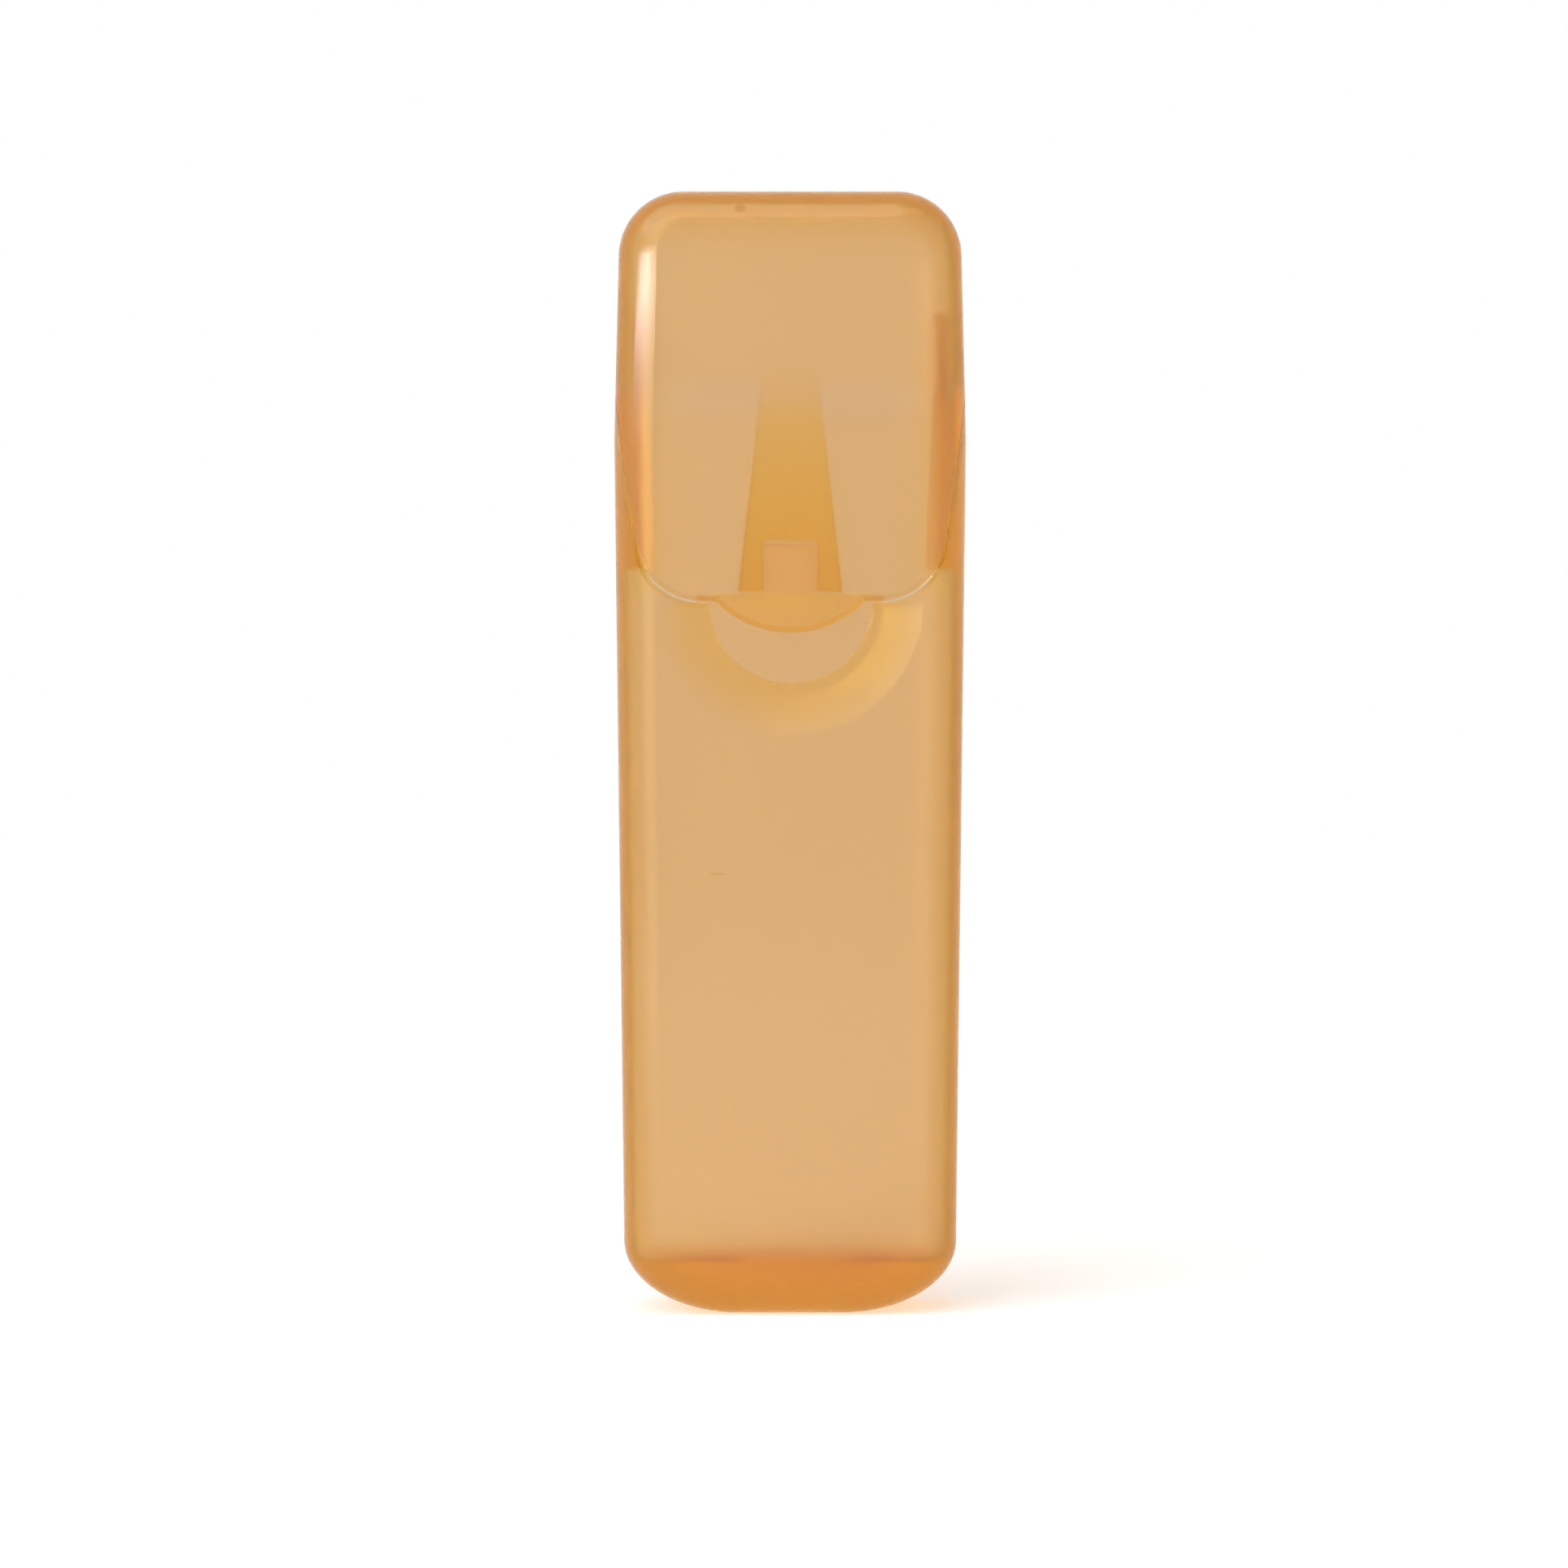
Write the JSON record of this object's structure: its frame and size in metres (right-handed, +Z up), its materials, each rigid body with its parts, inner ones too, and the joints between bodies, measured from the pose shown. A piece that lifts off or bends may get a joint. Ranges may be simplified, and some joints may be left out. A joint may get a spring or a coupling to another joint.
{
  "type": "toothpick box",
  "caption": "Slim upright pocket box of translucent orange plastic with rounded corners, a flip lid with a front flap and thumb tab, a thumb scoop and a film hinge at the back.",
  "frame": {"origin": "middle of the flat underside", "axes": "+Z up along the box, front with the flap and scoop towards -Y, +X to the right seen from the front"},
  "size_m": [0.027, 0.014, 0.086],
  "materials": {
    "orange_plastic": "translucent moulded polypropylene, tinted orange, with a soft gloss"
  },
  "bodies": {
    "case": {"case": "orange_plastic", "living_hinge": "orange_plastic"},
    "lid": {"lid": "orange_plastic"}
  },
  "joints": [
    {"name": "lid_hinge", "type": "hinge", "parent": "case", "child": "lid", "pos_m": [0, 0.007, 0.0709], "axis": [-1, 0, 0], "range_deg": [0, 150], "deforming": ["living_hinge"]}
  ]
}
